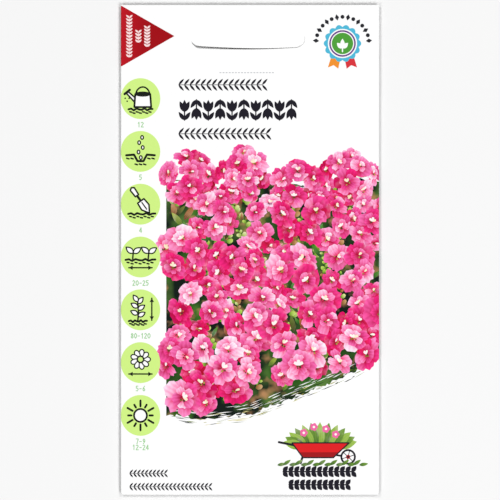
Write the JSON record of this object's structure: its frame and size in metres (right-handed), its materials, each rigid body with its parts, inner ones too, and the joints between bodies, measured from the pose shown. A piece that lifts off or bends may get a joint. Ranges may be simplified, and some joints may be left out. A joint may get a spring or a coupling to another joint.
{
  "type": "seed packet",
  "caption": "Flat folded paper packet with a bulging pouch of loose seeds, a glued flat header and a slit tongue for hanging it up.",
  "frame": {"origin": "on the surface the packet lies on, below the middle of its outline", "axes": "+X across the packet to the reader's right, +Y up its front towards the hang slit, +Z out of the printed front"},
  "size_m": [0.0796, 0.151, 0.0027],
  "materials": {
    "printed_paper": "semi-gloss coated paper, printed on the outside",
    "glue": "dried clear adhesive",
    "seed": "dull wrinkled seed coat"
  },
  "bodies": {
    "root": {"packet_sheet": "printed_paper", "side_seam_glue": "glue", "bottom_flap_glue": "glue", "header_glue": "glue", "seed_01": "seed", "seed_02": "seed", "seed_03": "seed", "seed_04": "seed", "seed_05": "seed", "seed_06": "seed", "seed_07": "seed", "seed_08": "seed", "seed_09": "seed", "seed_10": "seed", "seed_11": "seed", "seed_12": "seed", "seed_13": "seed", "seed_14": "seed", "seed_15": "seed", "seed_16": "seed", "seed_17": "seed", "seed_18": "seed", "seed_19": "seed", "seed_20": "seed", "seed_21": "seed", "seed_22": "seed", "seed_23": "seed", "seed_24": "seed", "seed_25": "seed", "seed_26": "seed", "seed_27": "seed", "seed_28": "seed", "seed_29": "seed", "seed_30": "seed", "seed_31": "seed", "seed_32": "seed", "seed_33": "seed", "seed_34": "seed", "seed_35": "seed", "seed_36": "seed", "seed_37": "seed", "seed_38": "seed", "seed_39": "seed", "seed_40": "seed"}
  },
  "joints": []
}
